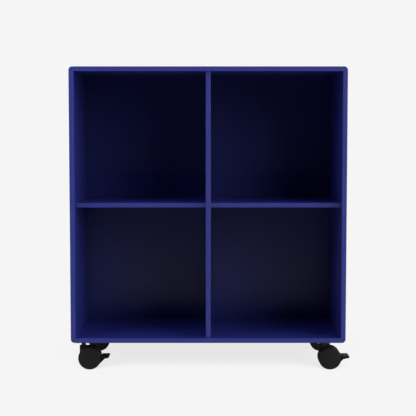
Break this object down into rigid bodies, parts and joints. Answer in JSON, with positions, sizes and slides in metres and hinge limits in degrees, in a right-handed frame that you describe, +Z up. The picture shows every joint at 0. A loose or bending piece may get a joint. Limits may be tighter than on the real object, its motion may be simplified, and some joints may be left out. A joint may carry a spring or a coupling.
{
  "type": "storage module",
  "caption": "Open square storage module in dark blue lacquered board, with an upright divider and loose shelves, standing on low black castors with foot brakes.",
  "frame": {"origin": "on the floor, under the middle of the carcass", "axes": "+X to the right as seen from the open front, +Y from the front to the back, +Z up"},
  "size_m": [0.7082, 0.3, 0.768],
  "materials": {
    "lacquered_board": "dark blue lacquer, semi-matt",
    "beech": "raw beech",
    "zinc_steel": "zinc plated",
    "blackened_steel": "black, satin",
    "housing_nylon": "black nylon, satin",
    "wheel_nylon": "black nylon, matt",
    "soft_tread": "black, matt",
    "bush_acetal": "natural white"
  },
  "bodies": {
    "carcass": {"top_panel": "lacquered_board", "bottom_panel": "lacquered_board", "left_side_panel": "lacquered_board", "right_side_panel": "lacquered_board", "back_panel": "lacquered_board", "centre_divider": "lacquered_board", "mitre_splines": "beech", "divider_dowels": "beech", "shelf_pins": "zinc_steel", "castor_screws": "zinc_steel", "front_left_castor_plate": "zinc_steel", "front_left_kingpin": "blackened_steel", "front_right_castor_plate": "zinc_steel", "front_right_kingpin": "blackened_steel", "rear_left_castor_plate": "zinc_steel", "rear_left_kingpin": "blackened_steel", "rear_right_castor_plate": "zinc_steel", "rear_right_kingpin": "blackened_steel"},
    "left_shelf": {"left_shelf": "lacquered_board"},
    "right_shelf": {"right_shelf": "lacquered_board"},
    "front_left_swivel": {"front_left_castor_housing": "housing_nylon", "front_left_swivel_bush": "bush_acetal", "front_left_axle": "zinc_steel", "front_left_lever_pin": "zinc_steel"},
    "front_left_near_wheel": {"front_left_near_wheel": "wheel_nylon", "front_left_near_tread": "soft_tread"},
    "front_left_far_wheel": {"front_left_far_wheel": "wheel_nylon", "front_left_far_tread": "soft_tread"},
    "front_left_brake_lever": {"front_left_brake_lever": "housing_nylon"},
    "front_right_swivel": {"front_right_castor_housing": "housing_nylon", "front_right_swivel_bush": "bush_acetal", "front_right_axle": "zinc_steel", "front_right_lever_pin": "zinc_steel"},
    "front_right_near_wheel": {"front_right_near_wheel": "wheel_nylon", "front_right_near_tread": "soft_tread"},
    "front_right_far_wheel": {"front_right_far_wheel": "wheel_nylon", "front_right_far_tread": "soft_tread"},
    "front_right_brake_lever": {"front_right_brake_lever": "housing_nylon"},
    "rear_left_swivel": {"rear_left_castor_housing": "housing_nylon", "rear_left_swivel_bush": "bush_acetal", "rear_left_axle": "zinc_steel"},
    "rear_left_near_wheel": {"rear_left_near_wheel": "wheel_nylon", "rear_left_near_tread": "soft_tread"},
    "rear_left_far_wheel": {"rear_left_far_wheel": "wheel_nylon", "rear_left_far_tread": "soft_tread"},
    "rear_right_swivel": {"rear_right_castor_housing": "housing_nylon", "rear_right_swivel_bush": "bush_acetal", "rear_right_axle": "zinc_steel"},
    "rear_right_near_wheel": {"rear_right_near_wheel": "wheel_nylon", "rear_right_near_tread": "soft_tread"},
    "rear_right_far_wheel": {"rear_right_far_wheel": "wheel_nylon", "rear_right_far_tread": "soft_tread"}
  },
  "joints": [
    {"name": "left_shelf_slide", "type": "slide", "parent": "carcass", "child": "left_shelf", "axis": [0, -1, 0], "range_m": [0, 0.2]},
    {"name": "right_shelf_slide", "type": "slide", "parent": "carcass", "child": "right_shelf", "axis": [0, -1, 0], "range_m": [0, 0.2]},
    {"name": "front_left_swivel_turn", "type": "hinge", "parent": "carcass", "child": "front_left_swivel", "pos_m": [-0.3195, -0.115, 0.06], "axis": [0, 0, 1], "continuous": true},
    {"name": "front_left_near_roll", "type": "hinge", "parent": "front_left_swivel", "child": "front_left_near_wheel", "pos_m": [-0.303, -0.115, 0.029], "axis": [0, 1, 0], "continuous": true},
    {"name": "front_left_far_roll", "type": "hinge", "parent": "front_left_swivel", "child": "front_left_far_wheel", "pos_m": [-0.303, -0.115, 0.029], "axis": [0, 1, 0], "continuous": true},
    {"name": "front_left_brake_press", "type": "hinge", "parent": "front_left_swivel", "child": "front_left_brake_lever", "pos_m": [-0.289, -0.115, 0.041], "axis": [0, 1, 0], "range_deg": [0, 6]},
    {"name": "front_right_swivel_turn", "type": "hinge", "parent": "carcass", "child": "front_right_swivel", "pos_m": [0.2945, -0.115, 0.06], "axis": [0, 0, 1], "continuous": true},
    {"name": "front_right_near_roll", "type": "hinge", "parent": "front_right_swivel", "child": "front_right_near_wheel", "pos_m": [0.311, -0.115, 0.029], "axis": [0, 1, 0], "continuous": true},
    {"name": "front_right_far_roll", "type": "hinge", "parent": "front_right_swivel", "child": "front_right_far_wheel", "pos_m": [0.311, -0.115, 0.029], "axis": [0, 1, 0], "continuous": true},
    {"name": "front_right_brake_press", "type": "hinge", "parent": "front_right_swivel", "child": "front_right_brake_lever", "pos_m": [0.325, -0.115, 0.041], "axis": [0, 1, 0], "range_deg": [0, 6]},
    {"name": "rear_left_swivel_turn", "type": "hinge", "parent": "carcass", "child": "rear_left_swivel", "pos_m": [-0.3195, 0.115, 0.06], "axis": [0, 0, 1], "continuous": true},
    {"name": "rear_left_near_roll", "type": "hinge", "parent": "rear_left_swivel", "child": "rear_left_near_wheel", "pos_m": [-0.303, 0.115, 0.029], "axis": [0, 1, 0], "continuous": true},
    {"name": "rear_left_far_roll", "type": "hinge", "parent": "rear_left_swivel", "child": "rear_left_far_wheel", "pos_m": [-0.303, 0.115, 0.029], "axis": [0, 1, 0], "continuous": true},
    {"name": "rear_right_swivel_turn", "type": "hinge", "parent": "carcass", "child": "rear_right_swivel", "pos_m": [0.2945, 0.115, 0.06], "axis": [0, 0, 1], "continuous": true},
    {"name": "rear_right_near_roll", "type": "hinge", "parent": "rear_right_swivel", "child": "rear_right_near_wheel", "pos_m": [0.311, 0.115, 0.029], "axis": [0, 1, 0], "continuous": true},
    {"name": "rear_right_far_roll", "type": "hinge", "parent": "rear_right_swivel", "child": "rear_right_far_wheel", "pos_m": [0.311, 0.115, 0.029], "axis": [0, 1, 0], "continuous": true}
  ]
}
